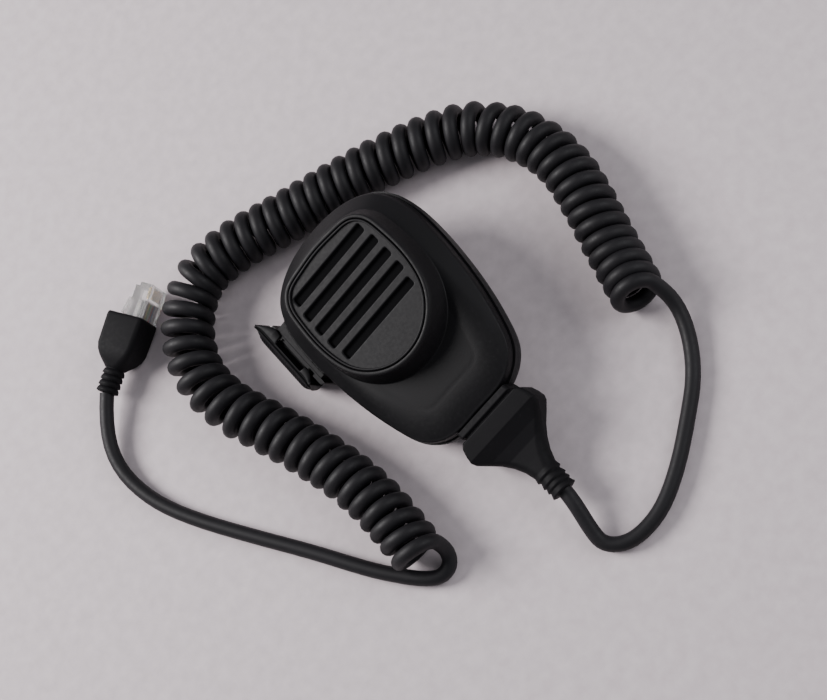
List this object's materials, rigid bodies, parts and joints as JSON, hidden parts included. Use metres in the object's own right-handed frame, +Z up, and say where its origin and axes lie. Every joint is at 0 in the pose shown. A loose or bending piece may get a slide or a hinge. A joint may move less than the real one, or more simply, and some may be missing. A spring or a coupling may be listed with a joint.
{
  "type": "hand microphone",
  "caption": "Hand microphone with a slotted oval grille, side talk key, hang-up knob and a coiled cord ending in a modular plug.",
  "frame": {"origin": "on the table under the middle of the microphone (its housing, key and cord boot), as it lies on its back", "axes": "+Y towards the head of the microphone, +X to its right as its face is seen, +Z up off the table"},
  "size_m": [0.198, 0.1918, 0.041],
  "materials": {
    "case_black": "satin",
    "panel_black": "satin",
    "key_black": "satin",
    "rubber_black": "matte",
    "cord_black": "matte",
    "clear_plastic": "gloss",
    "gold": "polished",
    "steel": "satin",
    "board_green": "satin",
    "component_dark": "satin",
    "nylon_white": "satin",
    "capsule_aluminium": "satin",
    "cloth_black": "matte",
    "label_grey": "satin",
    "wire_colour": "satin"
  },
  "bodies": {
    "microphone": {"front_case": "case_black", "rear_case": "case_black", "seam_gasket": "rubber_black", "grille_panel": "panel_black", "dust_cloth": "cloth_black", "rear_label": "label_grey", "hang_up_knob": "case_black", "knob_screw": "steel", "hook_contact_plate": "steel", "ptt_bezel": "key_black", "ptt_switch": "component_dark", "circuit_board": "board_green", "microphone_capsule": "capsule_aluminium", "capsule_holder": "rubber_black", "board_components": "component_dark", "cord_connector": "nylon_white", "case_screws": "steel", "board_screws": "steel", "clamp_screws": "steel", "cord_boot": "rubber_black", "cord_end": "cord_black", "cord_clamp": "nylon_white", "inner_wires": "wire_colour", "lead_mic": "cord_black", "curly_coil": "cord_black", "lead_plug": "cord_black", "plug_boot": "rubber_black", "modular_plug": "clear_plastic", "plug_contacts": "gold", "plug_wires": "wire_colour"},
    "talk_key": {"ptt_key": "key_black"},
    "plunger": {"switch_plunger": "nylon_white"},
    "latch": {"plug_latch": "clear_plastic"}
  },
  "joints": [
    {"name": "ptt_press", "type": "slide", "parent": "microphone", "child": "talk_key", "axis": [0.9613, -0.0168, 0.2751], "range_m": [0, 0.0015], "stiffness_N_per_m": 1500},
    {"name": "plunger_press", "type": "slide", "parent": "microphone", "child": "plunger", "axis": [0.9613, -0.0168, 0.2751], "range_m": [0, 0.0015], "stiffness_N_per_m": 10},
    {"name": "latch_flex", "type": "hinge", "parent": "microphone", "child": "latch", "pos_m": [-0.05664, 0.10045, 0.0071], "axis": [0, 0, 1], "range_deg": [0, 9], "stiffness_Nm_per_rad": 0.3}
  ],
  "couplings": [
    {"joint": "plunger_press", "follows": "ptt_press", "ratio": 1}
  ]
}
